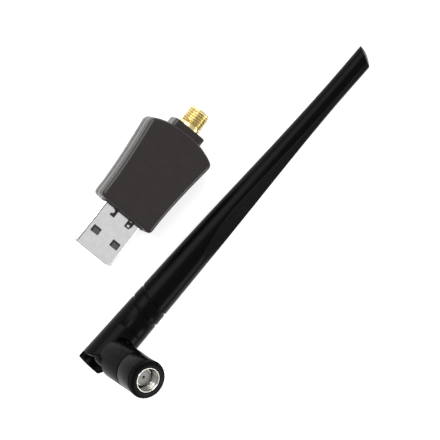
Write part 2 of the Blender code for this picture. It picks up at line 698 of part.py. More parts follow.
def make_connector(frame):
    """The fixed half of the RP-SMA plug: ferrule, insulator, socket, cable, gasket and snap ring."""
    groove_low, groove_high = RING_GROOVE_Z
    inner = FERRULE_RADIUS - FERRULE_WALL
    groove = FERRULE_RADIUS - 0.23
    bore = FERRULE_RADIUS - 0.55
    ferrule = [(FERRULE_RADIUS, FERRULE_START), (FERRULE_RADIUS, groove_low), (groove, groove_low),
               (groove, groove_high), (FERRULE_RADIUS, groove_high), (FERRULE_RADIUS, FERRULE_FACE),
               (inner, FERRULE_FACE), (inner, groove_high + 0.4), (bore, groove_high + 0.2),
               (bore, 12.5), (0.9, 12.3), (0.9, FERRULE_START)]
    new_object("plug_body", turned(ferrule, "Z", (0, 0, 0), 28, hollow=True), "nickel", frame)
    hole = SOCKET_RADIUS + TOUCH
    front = FERRULE_FACE - 0.1
    insulator = [(bore - TOUCH, 12.6), (bore - TOUCH, groove_high + 0.2), (inner - TOUCH, groove_high + 0.45),
                 (inner - TOUCH, front), (hole, front), (hole, 12.6)]
    new_object("plug_dielectric", turned(insulator, "Z", (0, 0, 0), 24, hollow=True), "ptfe", frame)
    socket = [(SOCKET_RADIUS, 9.8), (SOCKET_RADIUS, front - 0.1), (0.4, front - 0.1), (0.4, 14.6),
              (0.15, 14.4), (0.15, 9.8)]
    new_object("plug_socket", turned(socket, "Z", (0, 0, 0), 16, hollow=True), "gold", frame)
    coax = [(COAX_RADIUS, 1.0), (COAX_RADIUS, 9.5)]
    new_object("knuckle_coax", turned(coax, "Z", (0, 0, 0), 12), "coax_jacket", frame)
    low = INSERT_SHOULDER_Z + TOUCH
    gasket = [(2.75, low), (2.75, low + 0.45), (2.3, low + 0.45), (2.3, low)]
    new_object("gasket", turned(gasket, "Z", (0, 0, 0), 24, hollow=True), "silicone", frame)
    ring_low = groove_low + 0.1
    ring_high = groove_high - 0.1
    ring = [(2.55, ring_low), (2.55, ring_high), (groove + 0.08, ring_high), (groove + 0.08, ring_low)]
    snap = new_object("snap_ring", turned(ring, "Z", (0, 0, 0), 24, hollow=True), "steel", frame)
    cut(snap, box((-0.5, 0.0, groove_low - 1.0), (0.5, 5.0, groove_high + 1.0)))


# ---------------------------------------------------------------- coupling nut

def knurled_ring(radius, z, depth):
    """A ring of twice as many points as ribs, in and out by turns; no depth gives a plain ring."""
    points = []
    for i in range(2 * KNURL_RIBS):
        angle = pi * i / KNURL_RIBS
        reach = radius - depth * (i % 2)
        points.append((reach * cos(angle), reach * sin(angle), z))
    return points


def make_coupling_nut(frame):
    """The moulded grip with its knurled rim, and the threaded metal insert inside it."""
    depth = 0.22
    bore = INSERT_RADIUS + TOUCH
    rings = [
        knurled_ring(NUT_RADIUS - EDGE_BREAK, NUT_START, 0),
        knurled_ring(NUT_RADIUS, NUT_START + EDGE_BREAK, 0),
        knurled_ring(NUT_RADIUS, KNURL_Z[0] - 0.35, 0),
        knurled_ring(NUT_RADIUS - 0.25, KNURL_Z[0] - 0.2, 0),
        knurled_ring(NUT_RADIUS - 0.25, KNURL_Z[0], 0),
        knurled_ring(KNURL_RADIUS, KNURL_Z[0] + 0.1, depth),
        knurled_ring(KNURL_RADIUS, KNURL_Z[1], depth),
        knurled_ring(KNURL_RADIUS - 0.4, NUT_FACE, 0),
        knurled_ring(bore, NUT_FACE, 0),
        knurled_ring(bore, INSERT_START - TOUCH, 0),
        knurled_ring(FERRULE_RADIUS + 0.3, INSERT_START - TOUCH, 0),
        knurled_ring(FERRULE_RADIUS + 0.3, NUT_START, 0),
    ]
    new_object("nut_grip", loft(rings, closed_loop=True), "antenna_plastic", frame)
    groove = (RING_GROOVE_Z[0] - 0.1, RING_GROOVE_Z[1] + 0.1)
    shoulder = FERRULE_RADIUS + 0.1
    insert = [(INSERT_RADIUS, INSERT_START), (INSERT_RADIUS, NUT_FACE), (INSERT_BORE + 0.2, NUT_FACE)]
    thread = thread_profile(INSERT_SHOULDER_Z + 0.9, 4, INSERT_BORE + 0.3, 0.3)
    insert += [(radius, z) for radius, z in reversed(thread)]
    insert += [(INSERT_BORE, INSERT_SHOULDER_Z), (shoulder, INSERT_SHOULDER_Z), (shoulder, groove[1]),
               (2.75, groove[1]), (2.75, groove[0]), (shoulder, groove[0]), (shoulder, INSERT_START)]
    new_object("nut_insert", turned(insert, "Z", (0, 0, 0), 32, hollow=True), "nickel", frame)


def main():
    for old in list(bpy.data.objects):
        bpy.data.objects.remove(old)
    make_bottom_cover()
    make_top_cover()
    make_board()
    make_components()
    make_usb_shell()
    make_usb_insulator()
    make_usb_contacts()
    make_jack()
    whip, knuckle = antenna_frames()
    make_radome(whip)
    make_dipole(whip)
    make_hinge_fork(whip)
    make_hinge_pins(whip)
    make_knuckle(knuckle)
    make_connector(knuckle)
    make_coupling_nut(knuckle)


main()
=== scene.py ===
"""Looks for a USB Wi-Fi adapter and its screw-on elbow antenna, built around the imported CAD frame.

Sizes below are in millimetres, as in the CAD; to_object() turns them into metres. The adapter's pieces are
modelled in the row frame. The antenna's are modelled in the elbow's own frame: x along its pin, y along the
whip and z along the nut.
"""
import json
from math import asin, ceil, cos, pi, radians, sin, sqrt

import bmesh
import bpy
from mathutils import Matrix, Vector


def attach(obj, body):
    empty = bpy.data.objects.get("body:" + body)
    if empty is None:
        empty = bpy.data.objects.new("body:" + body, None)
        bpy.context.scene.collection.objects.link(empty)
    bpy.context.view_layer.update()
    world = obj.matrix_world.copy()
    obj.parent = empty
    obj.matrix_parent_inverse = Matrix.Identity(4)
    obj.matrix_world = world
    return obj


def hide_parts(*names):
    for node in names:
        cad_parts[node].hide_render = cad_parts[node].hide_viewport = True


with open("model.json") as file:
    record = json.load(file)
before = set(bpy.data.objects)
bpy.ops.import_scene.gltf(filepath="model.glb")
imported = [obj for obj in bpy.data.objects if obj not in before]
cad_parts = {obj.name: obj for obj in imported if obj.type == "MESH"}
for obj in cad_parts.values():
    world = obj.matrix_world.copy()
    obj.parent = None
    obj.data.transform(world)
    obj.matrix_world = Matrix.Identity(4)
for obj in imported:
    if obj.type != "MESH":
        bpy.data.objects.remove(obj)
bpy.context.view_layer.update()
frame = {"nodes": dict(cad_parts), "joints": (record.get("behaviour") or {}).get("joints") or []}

MM = 0.001
TOUCH = 0.05

# Housing
HOUSING_HALF_LENGTH = 13.4
PLUG_END_HALF_WIDTH = 8.6
JACK_END_HALF_WIDTH = 10.47  # just under the CAD's, so that the finer outline stays inside its box
FLARE_START_Y = -9.5
ARC_RISE = 2.5
PLUG_CORNER = 1.4
JACK_CORNER = 1.6
HOUSING_HEIGHT = 9.0
SPLIT_Z = 3.4
SPLIT_GAP = 0.1
EDGE_BREAK = 0.2
GROOVE_Z = (6.8, 7.5)
GROOVE_DEPTH = 0.35
TOP_ROUND = 1.1
BOTTOM_BEVEL = 0.9
WALL = 1.3
FLOOR = 1.2
CEILING = 1.3
BOSS_HALF_WIDTH = 4.85
BOSS_LOW_Z = 0.8
BOSS_HIGH_Z = 7.9
BOSS_CORNER = 1.1
BOSS_FRONT_Y = 15.0
AXIS_Z = HOUSING_HEIGHT / 2
BOARD_LOW_Z = 2.9
PILLAR_X = 5.4
PILLAR_Y = (-8.0, 5.5)
PILLAR_RADIUS = 0.9
COLLAR_SIDE = 0.45
COLLAR_TOP = 0.75
COLLAR_PROUD = 0.32

# USB plug
PLUG_WIDTH = 12.0
PLUG_HEIGHT = 4.5
PLUG_SHEET = 0.3
PLUG_FRONT_Y = -26.2
PLUG_BACK_Y = -11.0
PLUG_FOLD = 0.6
PLUG_CLEARANCE = 0.06
SEAM_X = -5.42
SEAM_WIDTH = 0.2
WINDOW = (2.5, 1.95)
WINDOW_X = 3.25
WINDOW_FROM_FRONT = 5.2
FACE_CUT = 0.45              # how far a cut reaches to either side of the sheet's outer face
ROOT_OPENING_LENGTH = 2.2
TAB_REACH = (-0.7, 1.15)     # a window tab's sides, from the middle of its window
TAB_SHEET = 0.04
LEAF_X = (2.6, 3.3)
LEAF_START_Y = -15.3
LEAF_LENGTH = 1.7
LEAF_Z = 6.5
LEAF_WAVE = 0.2
LEAF_SHEET = 0.05

# Jack
JACK_TIP_Y = 20.6
JACK_RADIUS = 3.175
JACK_FLANGE_RADIUS = 3.15
JACK_FLANGE_END_Y = 15.9
JACK_BORE_RADIUS = 2.3
JACK_LINER_RADIUS = 2.1
JACK_PIN_RADIUS = 0.45
THREAD_PITCH = 0.7056
THREAD_DEPTH = 0.38

# Whip and elbow
FORK_END_Y = -5.5
FORK_TOP_Y = 7.7
WHIP_TIP_Y = 104.8
WHIP_RADII = ((-5.5, 5.26), (20.0, 4.72), (46.0, 4.02), (72.0, 3.10), (90.0, 2.72), (105.0, 2.78))
FLAT_TURN = radians(12.0)
FLAT_DISTANCE = 2.7
FLAT_START_Y = 36.0
FLAT_FULL_Y = 53.0
RING_SLANT = (0.0, 0.40)
TIP_SLANT = (0.28, 0.50)
TIP_CROWN = 0.5
TIP_EDGE = 0.35
TIP_SHORT = 0.08             # the edge stops this far short, so that the dome stays inside the CAD's box
RADOME_LAP = 0.1             # the radome covers this much of the fork's rounded end
RING_Y = (14.8, 18.5)
RING_HALF_WIDTH = 0.45
RING_DEPTH = 0.25
FORK_BORE = 4.2
FORK_CUT_Z = 3.9
FORK_SLOT_HALF = 2.9
FORK_ARCH_RADIUS = 5.55
FORK_BORE_TOP_Y = 4.9
HEEL_Z = (-2.2, -3.1)
TONGUE_RADIUS = 3.85
TONGUE_HALF = 2.6
BARREL_RADIUS = 5.08
BARREL_START = 4.2
BARREL_END = 13.75
SEAT_STEP = 0.55
SEAT_GAP = 0.03              # what the barrel's seat leaves open below the nut
NECK_HALF = 3.0
PIN_BORE = 0.85
CABLE_BORE = 0.9

# Antenna connector
NUT_START = 13.9
NUT_FACE = 21.3
NUT_RADIUS = 5.05
KNURL_RADIUS = 5.2
KNURL_RIBS = 48
KNURL_Z = (19.9, 21.0)
KNURL_DEPTH = 0.36
INSERT_START = 15.7
INSERT_RADIUS = 3.35
INSERT_BORE = 2.85
INSERT_SHOULDER_Z = 17.2
FERRULE_RADIUS = 2.25
FERRULE_START = 10.0
FERRULE_FACE = 19.05
SOCKET_RECESS = 1.8


# ---------------------------------------------------------------- mesh helpers

def loft(rings, closed_loop=False):
    """Skin rings of equal length; cap the two ends, or join the last ring to the first."""
    bm = bmesh.new()
    loops = [[bm.verts.new(point) for point in ring] for ring in rings]
    pairs = list(zip(loops, loops[1:]))
    if closed_loop:
        pairs.append((loops[-1], loops[0]))
    for lower, upper in pairs:
        for i in range(len(lower)):
            j = (i + 1) % len(lower)
            bm.faces.new((lower[i], lower[j], upper[j], upper[i]))
    if not closed_loop:
        bm.faces.new(loops[0])
        bm.faces.new(loops[-1])
    bmesh.ops.recalc_face_normals(bm, faces=bm.faces)
    return bm


def on_axis(axis, radius, angle, height, centre=(0, 0, 0)):
    """A point at a radius and angle about the X, Y or Z direction, and at a height along it."""
    u = radius * cos(angle)
    v = radius * sin(angle)
    local = {"X": (height, u, v), "Y": (v, height, u), "Z": (u, v, height)}[axis]
    return Vector(centre) + Vector(local)


def plain_rings(profile, axis, centre, segments):
    """Round rings about an axis, one for each (radius, height) point."""
    rings = []
    for radius, height in profile:
        rings.append([on_axis(axis, radius, 2 * pi * i / segments, height, centre) for i in range(segments)])
    return rings


def turned(profile, axis="Z", centre=(0, 0, 0), segments=64, hollow=False):
    """Turn (radius, height) points about an axis: a solid, or a tube whose profile is a closed loop."""
    return loft(plain_rings(profile, axis, centre, segments), closed_loop=hollow)


def cylinder(radius, low, high, axis="Z", centre=(0, 0, 0), segments=64):
    return turned([(radius, low), (radius, high)], axis, centre, segments)


def prism(outline, low, high, axis):
    """Extrude a 2-D outline along X, Y or Z."""
    def place(point, height):
        u, v = point
        return {"X": (height, u, v), "Y": (u, height, v), "Z": (u, v, height)}[axis]
    return loft([[place(point, height) for point in outline] for height in (low, high)])


def box(low, high):
    outline = [(low[0], low[1]), (high[0], low[1]), (high[0], high[1]), (low[0], high[1])]
    return prism(outline, low[2], high[2], "Z")


def rounded_rectangle(half_width, low, high, radius, steps=6, centre=0.0):
    """Outline of a rounded rectangle, anticlockwise from its low right corner."""
    corners = ((half_width - radius, low + radius, -pi / 2), (half_width - radius, high - radius, 0.0),
               (radius - half_width, high - radius, pi / 2), (radius - half_width, low + radius, pi))
    points = []
    for cx, cz, start in corners:
        for i in range(steps + 1):
            angle = start + pi / 2 * i / steps
            points.append((centre + cx + radius * cos(angle), cz + radius * sin(angle)))
    return points


def fillet(before, corner, after, size, steps=4):
    """Points of a smooth curve that cuts a corner, starting and ending size away from it."""
    corner = Vector(corner)
    start = corner + (Vector(before) - corner).normalized() * size
    end = corner + (Vector(after) - corner).normalized() * size
    points = []
    for i in range(steps + 1):
        t = i / steps
        points.append(tuple((1 - t) ** 2 * start + 2 * t * (1 - t) * corner + t ** 2 * end))
    return points


def softened(points, size, closed=False):
    """The same path with each corner cut by a small curve, so that its edges catch the light."""
    path = []
    count = len(points)
    for i in range(count):
        if not closed and i in (0, count - 1):
            path.append(points[i])
            continue
        before = points[i - 1]
        after = points[(i + 1) % count]
        here = Vector(points[i])
        room = min((here - Vector(before)).length, (here - Vector(after)).length) * 0.45
        path += fillet(before, points[i], after, min(size, room), 3)
    return path


def smooth_value(knots, position):
    """Value at a position on a smooth curve through (position, value) knots."""
    slopes = []
    for i in range(len(knots)):
        low = knots[max(i - 1, 0)]
        high = knots[min(i + 1, len(knots) - 1)]
        slopes.append((high[1] - low[1]) / (high[0] - low[0]))
    i = 0
    while i < len(knots) - 2 and position > knots[i + 1][0]:
        i += 1
    (x0, y0), (x1, y1) = knots[i], knots[i + 1]
    width = x1 - x0
    t = (position - x0) / width
    rise = (2 * t ** 3 - 3 * t ** 2 + 1) * y0 + (3 * t ** 2 - 2 * t ** 3) * y1
    return rise + (t ** 3 - 2 * t ** 2 + t) * width * slopes[i] + (t ** 3 - t ** 2) * width * slopes[i + 1]


def antenna_matrix():
    """The elbow's frame, from the frame's own joints: x along the pin, y along the whip, z along the nut."""
    joints = {joint["name"]: joint for joint in frame["joints"]}
    pin = Vector(joints["elbow_fold"]["axis"]).normalized()
    nut = Vector(joints["nut_spin"]["axis"]).normalized()
    turn = Matrix((pin, nut.cross(pin), nut)).transposed().to_4x4()
    return Matrix.Translation(Vector(joints["elbow_fold"]["pos_m"])) @ turn


ADAPTER = Matrix.Identity(4)
ANTENNA = antenna_matrix()


def to_object(name, bm, place):
    """Turn a mesh in millimetres into an object whose mesh is in the row frame, in metres."""
    bm.transform(place @ Matrix.Scale(MM, 4))
    mesh = bpy.data.meshes.new(name)
    bm.to_mesh(mesh)
    bm.free()
    new = bpy.data.objects.new(name, mesh)
    bpy.context.scene.collection.objects.link(new)
    return new


def applied(target):
    """Make the result of the target's modifiers its mesh."""
    depsgraph = bpy.context.evaluated_depsgraph_get()
    mesh = bpy.data.meshes.new_from_object(target.evaluated_get(depsgraph))
    target.modifiers.clear()
    target.data = mesh
    return target


def combined(name, bm, steps, place=ADAPTER):
    """A mesh with others joined to it or cut away, in order; steps are (operation, mesh) pairs."""
    target = to_object(name, bm, place)
    tools = []
    for operation, tool_mesh in steps:
        tool = to_object(f"{name}_tool", tool_mesh, place)
        modifier = target.modifiers.new(operation, "BOOLEAN")
        modifier.operation = operation
        modifier.object = tool
        modifier.solver = "EXACT"
        tools.append(tool)
    applied(target)
    for tool in tools:
        bpy.data.objects.remove(tool)
    return target


def rounded_over(target, voxel, passes):
    """Remesh a machined shape finely and smooth it, so that every edge is rounded as in a moulding."""
    remesh = target.modifiers.new("remesh", "REMESH")
    remesh.mode = "VOXEL"
    remesh.voxel_size = voxel * MM
    smooth = target.modifiers.new("smooth", "SMOOTH")
    smooth.factor = 0.5
    smooth.iterations = passes
    return applied(target)


def add_piece(piece, finish, body, stands_for, crease=35.0):
    """Shade a piece, give it its material and tell the frame what it rides on and replaces."""
    piece.data.shade_smooth()
    piece.data.set_sharp_from_angle(angle=radians(crease))
    piece.data.materials.clear()
    piece.data.materials.append(finish)
    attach(piece, body)
    if stands_for:
        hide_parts(*stands_for)
    return piece


# ---------------------------------------------------------------- materials

class Nodes:
    """A short way to wire a material's nodes."""

    def __init__(self, name):
        self.material = bpy.data.materials.new(name)
        self.material.use_nodes = True
        self.tree = self.material.node_tree
        self.shader = self.tree.nodes["Principled BSDF"]

    def add(self, kind, **settings):
        node = self.tree.nodes.new(kind)
        for key, value in settings.items():
            setattr(node, key, value)
        return node

    def link(self, source, target):
        self.tree.links.new(source, target)

    def coordinates(self, place, stretch=(1, 1, 1)):
        """Position on the object in a piece's own axes, in millimetres, stretched for a grain."""
        inverse = place.inverted()
        texture = self.add("ShaderNodeTexCoord")
        turn = self.add("ShaderNodeMapping")
        turn.inputs["Location"].default_value = inverse.to_translation() / MM
        turn.inputs["Rotation"].default_value = inverse.to_euler()
        turn.inputs["Scale"].default_value = (1 / MM, 1 / MM, 1 / MM)
        self.link(texture.outputs["Object"], turn.inputs["Vector"])
        grain = self.add("ShaderNodeMapping")
        grain.inputs["Scale"].default_value = stretch
        self.link(turn.outputs["Vector"], grain.inputs["Vector"])
        return grain.outputs["Vector"]

    def noise(self, vector, scale, detail=3.0, roughness=0.55):
        noise = self.add("ShaderNodeTexNoise")
        noise.inputs["Scale"].default_value = scale
        noise.inputs["Detail"].default_value = detail
        noise.inputs["Roughness"].default_value = roughness
        self.link(vector, noise.inputs["Vector"])
        return noise.outputs["Fac"]

    def spread(self, value, low, high, from_low=0.3, from_high=0.7):
        """Remap a noise value to a range."""
        remap = self.add("ShaderNodeMapRange")
        remap.inputs["From Min"].default_value = from_low
        remap.inputs["From Max"].default_value = from_high
        remap.inputs["To Min"].default_value = low
        remap.inputs["To Max"].default_value = high
        self.link(value, remap.inputs["Value"])
        return remap.outputs["Result"]

    def blend(self, factor, first, second):
        """A colour between two colours."""
        mix = self.add("ShaderNodeMix", data_type="RGBA")
        mix.inputs["A"].default_value = (*first, 1.0)
        mix.inputs["B"].default_value = (*second, 1.0)
        self.link(factor, mix.inputs["Factor"])
        return mix.outputs["Result"]

    def shaded_in_corners(self, tint, corner_shade, reach=0.35):
        """Darken a colour in grooves and inner corners by ambient occlusion: painted shade, where less light
        reaches.
        """
        corner = self.add("ShaderNodeAmbientOcclusion", samples=12)
        corner.inputs["Distance"].default_value = reach * MM
        mix = self.add("ShaderNodeMix", data_type="RGBA")
        mix.inputs["A"].default_value = (*corner_shade, 1.0)
        self.link(tint, mix.inputs["B"])
        self.link(self.spread(corner.outputs["AO"], 0.0, 1.0, 0.35, 0.8), mix.inputs["Factor"])
        return mix.outputs["Result"]

    def bump(self, height, distance):
        bump = self.add("ShaderNodeBump")
        bump.inputs["Distance"].default_value = distance * MM
        bump.inputs["Strength"].default_value = 1.0
        self.link(height, bump.inputs["Height"])
        return bump.outputs["Normal"]


def shade(colour, factor):
    return tuple(min(channel * factor, 1.0) for channel in colour)


def moulded_plastic(name, place, colour, roughness, specular, grain=5.0, depth=0.012, mottle=0.14):
    """Injection-moulded plastic: spark-eroded grain, faint flow mottling and uneven gloss."""
    nodes = Nodes(name)
    here = nodes.coordinates(place)
    patches = nodes.noise(here, 0.35)
    tint = nodes.blend(nodes.spread(patches, 0.0, 1.0), shade(colour, 1 - mottle), shade(colour, 1 + mottle))
    nodes.link(tint, nodes.shader.inputs["Base Color"])
    gloss = nodes.spread(nodes.noise(here, 1.1, 4.0), roughness - 0.04, roughness + 0.05)
    nodes.link(gloss, nodes.shader.inputs["Roughness"])
    fine = nodes.bump(nodes.noise(here, grain, 2.0), depth)
    nodes.link(fine, nodes.shader.inputs["Normal"])
    nodes.shader.inputs["Specular IOR Level"].default_value = specular
    return nodes.material


def rolled_metal(name, place, colour, roughness, stretch, depth=0.004):
    """Plated sheet with the long fine grain of the rolling mill and faint handling marks."""
    nodes = Nodes(name)
    grain = nodes.noise(nodes.coordinates(place, stretch), 6.0, 3.0)
    here = nodes.coordinates(place)
    marks = nodes.noise(here, 0.6, 4.0)
    tint = nodes.blend(nodes.spread(marks, 0.0, 1.0), shade(colour, 0.95), shade(colour, 1.04))
    nodes.link(tint, nodes.shader.inputs["Base Color"])
    gloss = nodes.spread(grain, roughness - 0.05, roughness + 0.07)
    nodes.link(gloss, nodes.shader.inputs["Roughness"])
    nodes.link(nodes.bump(grain, depth), nodes.shader.inputs["Normal"])
    nodes.shader.inputs["Metallic"].default_value = 1.0
    return nodes.material


def turned_metal(name, place, colour, roughness, axis, centre=(0, 0, 0), pitch=0.12, depth=0.003):
    """Plated turned metal: fine tool rings round its axis, plating that varies a little in tone, and painted
    shade in grooves and corners.
    """
    nodes = Nodes(name)
    here = nodes.coordinates(place)
    shift = nodes.add("ShaderNodeVectorMath", operation="SUBTRACT")
    shift.inputs[1].default_value = centre
    nodes.link(here, shift.inputs[0])
    across = nodes.add("ShaderNodeVectorMath", operation="MULTIPLY")
    across.inputs[1].default_value = {"X": (0, 1, 1), "Y": (1, 0, 1), "Z": (1, 1, 0)}[axis]
    nodes.link(shift.outputs["Vector"], across.inputs[0])
    radius = nodes.add("ShaderNodeVectorMath", operation="LENGTH")
    nodes.link(across.outputs["Vector"], radius.inputs[0])
    along = nodes.add("ShaderNodeSeparateXYZ")
    nodes.link(shift.outputs["Vector"], along.inputs["Vector"])
    path = nodes.add("ShaderNodeMath", operation="ADD")
    nodes.link(radius.outputs["Value"], path.inputs[0])
    nodes.link(along.outputs[axis], path.inputs[1])
    phase = nodes.add("ShaderNodeMath", operation="MULTIPLY")
    phase.inputs[1].default_value = 2 * pi / pitch
    nodes.link(path.outputs["Value"], phase.inputs[0])
    rings = nodes.add("ShaderNodeMath", operation="SINE")
    nodes.link(phase.outputs["Value"], rings.inputs[0])
    plating = nodes.noise(here, 0.9, 4.0)
    tint = nodes.blend(nodes.spread(plating, 0.0, 1.0), shade(colour, 0.9), shade(colour, 1.06))
    # painted shade: the colour is darkened in grooves and inner corners by ambient occlusion
    nodes.link(nodes.shaded_in_corners(tint, shade(colour, 0.22)), nodes.shader.inputs["Base Color"])
    gloss = nodes.spread(plating, roughness - 0.04, roughness + 0.06)
    nodes.link(gloss, nodes.shader.inputs["Roughness"])
    nodes.link(nodes.bump(rings.outputs["Value"], depth), nodes.shader.inputs["Normal"])
    nodes.shader.inputs["Metallic"].default_value = 1.0
    return nodes.material


HOUSING_COLOUR = (0.0145, 0.0105, 0.0098)
ANTENNA_COLOUR = (0.0014, 0.0015, 0.0014)
STEEL_COLOUR = (0.86, 0.86, 0.86)
NICKEL_COLOUR = (0.50, 0.49, 0.45)
GOLD_COLOUR = (0.80, 0.67, 0.34)
BRASS_COLOUR = (0.72, 0.52, 0.24)

JACK_CENTRE = (0, 0, AXIS_Z)
HOUSING = moulded_plastic("housing_plastic_grain", ADAPTER, HOUSING_COLOUR, 0.26, 0.40, depth=0.001)
BLACK = moulded_plastic("antenna_plastic_grain", ANTENNA, ANTENNA_COLOUR, 0.25, 0.045, grain=4.0,
                        depth=0.0012)
INSULATOR = moulded_plastic("insulator_plastic_grain", ADAPTER, (0.02, 0.02, 0.02), 0.5, 0.4)
EPOXY = moulded_plastic("chip_epoxy_grain", ADAPTER, (0.014, 0.014, 0.015), 0.5, 0.4, grain=9.0)
BOARD = moulded_plastic("solder_mask", ADAPTER, (0.015, 0.10, 0.04), 0.3, 0.5, grain=2.0, depth=0.02,
                        mottle=0.25)
JACK_PTFE = moulded_plastic("jack_ptfe", ADAPTER, (0.80, 0.79, 0.75), 0.42, 0.4, grain=6.0, depth=0.004,
                            mottle=0.03)
# painted shade: white PTFE painted grey where it sits deep inside the nut
SHADED_PLUG_PTFE = moulded_plastic("plug_ptfe_painted_shade", ANTENNA, (0.27, 0.27, 0.255), 0.36, 0.5, grain=6.0, depth=0.004,
                            mottle=0.03)
JACKET = moulded_plastic("coax_jacket_skin", ANTENNA, (0.03, 0.03, 0.03), 0.5, 0.4)
SILICONE = moulded_plastic("silicone_skin", ANTENNA, (0.035, 0.012, 0.010), 0.55, 0.4)
STEEL = rolled_metal("plug_steel_rolled", ADAPTER, STEEL_COLOUR, 0.22, (3.0, 0.25, 3.0), depth=0.0015)
# painted shade: the tabs' steel is painted near black to stand for the shade inside the plug's windows
SHADED_TAB_STEEL = rolled_metal("tab_steel_painted_shade", ADAPTER, (0.13, 0.13, 0.13), 0.4, (2.0, 0.3, 2.0))
PIN_STEEL = turned_metal("pin_steel", ANTENNA, (0.5, 0.5, 0.5), 0.32, "X")
NICKEL = turned_metal("nickel_turned", ANTENNA, NICKEL_COLOUR, 0.20, "Z")
CAN_NICKEL = rolled_metal("can_nickel", ADAPTER, (0.62, 0.61, 0.58), 0.28, (2.0, 2.0, 2.0))
GOLD = turned_metal("jack_gold", ADAPTER, GOLD_COLOUR, 0.22, "Y", JACK_CENTRE)
CONTACT_GOLD = rolled_metal("contact_gold", ADAPTER, GOLD_COLOUR, 0.26, (3.0, 0.3, 3.0))
SOCKET_GOLD = turned_metal("socket_gold", ANTENNA, GOLD_COLOUR, 0.24, "Z")
BRASS = turned_metal("dipole_brass", ANTENNA, BRASS_COLOUR, 0.32, "Y")


# ---------------------------------------------------------------- housing

def arc_y(x, inset):
    """Height of the bowed jack end at x, moved inwards by inset."""
    radius = (JACK_END_HALF_WIDTH ** 2 + ARC_RISE ** 2) / (2 * ARC_RISE)
    return HOUSING_HALF_LENGTH - radius + sqrt((radius - inset) ** 2 - x ** 2)


def housing_outline(inset):
    """Plan outline of the housing, moved inwards by inset, anticlockwise from the middle of the plug end."""
    corner_y = HOUSING_HALF_LENGTH - ARC_RISE
    plug_y = inset - HOUSING_HALF_LENGTH
    plug_x = PLUG_END_HALF_WIDTH - inset
    flare_steps = 24
    side = []
    for i in range(flare_steps + 1):
        t = i / flare_steps
        y = FLARE_START_Y + (corner_y - FLARE_START_Y) * t
        side.append((plug_x + (JACK_END_HALF_WIDTH - PLUG_END_HALF_WIDTH) * t ** 1.5, y))
    jack_x = side[-1][0]
    side = [point for point in side if point[1] < corner_y - JACK_CORNER]
    arc_steps = 18
    arc = []
    for i in range(arc_steps):
        x = jack_x * 0.8 * (1 - i / arc_steps)
        arc.append((x, arc_y(x, inset)))
    right = fillet((0, plug_y), (plug_x, plug_y), side[0], max(PLUG_CORNER - inset, 0.3), 8)
    right += side
    right += fillet(side[-1], (jack_x, arc_y(jack_x, inset)), arc[0], max(JACK_CORNER - inset, 0.3), 8)
    right += arc
    left = [(-x, y) for x, y in reversed(right)]
    return right + [(0, arc_y(0, inset))] + left


def housing_loft(levels):
    """Skin the housing outline through (height, inset) levels."""
    return loft([[(x, y, z) for x, y in housing_outline(inset)] for z, inset in levels])


def boss(low, high):
    """The part of the boss around the jack that lies between two heights, with a soft front edge."""
    stations = ((11.0, 0.0), (BOSS_FRONT_Y - 0.25, 0.0), (BOSS_FRONT_Y - 0.07, 0.07), (BOSS_FRONT_Y, 0.25))
    rings = []
    for y, inset in stations:
        half = BOSS_HALF_WIDTH - inset
        outline = rounded_rectangle(half, BOSS_LOW_Z + inset, BOSS_HIGH_Z - inset, BOSS_CORNER)
        rings.append([(x, y, min(max(z, low), high)) for x, z in outline])
    return loft(rings)


def jack_bore():
    return cylinder(JACK_RADIUS + 0.12, 10.0, 16.0, "Y", JACK_CENTRE)


def plug_opening():
    """The close opening that both covers leave for the plug."""
    half = PLUG_WIDTH / 2 + PLUG_CLEARANCE
    low = (-half, -HOUSING_HALF_LENGTH - 1.0, AXIS_Z - PLUG_HEIGHT / 2 - PLUG_CLEARANCE)
    high = (half, PLUG_BACK_Y, AXIS_Z + PLUG_HEIGHT / 2 + PLUG_CLEARANCE)
    return box(low, high)


def make_bottom_cover():
    """The lower shell, with four pillars under the board."""
    profile = [(0.0, BOTTOM_BEVEL + 1.0), (0.0, BOTTOM_BEVEL), (BOTTOM_BEVEL, 0.0)]
    profile += [(SPLIT_Z - EDGE_BREAK, 0.0), (SPLIT_Z, EDGE_BREAK)]
    steps = [
        ("UNION", boss(BOSS_LOW_Z - 1.0, SPLIT_Z)),
        ("DIFFERENCE", housing_loft(((FLOOR, WALL), (SPLIT_Z + 1.0, WALL)))),
        ("DIFFERENCE", jack_bore()),
        ("DIFFERENCE", plug_opening()),
    ]
    for x in (-PILLAR_X, PILLAR_X):
        for y in PILLAR_Y:
            pillar = cylinder(PILLAR_RADIUS, FLOOR - 0.3, BOARD_LOW_Z - TOUCH, "Z", (x, y, 0), 24)
            steps.append(("UNION", pillar))
    cover = combined("bottom_cover_shell", housing_loft(softened(profile, 0.18)), steps)
    add_piece(cover, HOUSING, "adapter", ["bottom_cover"])


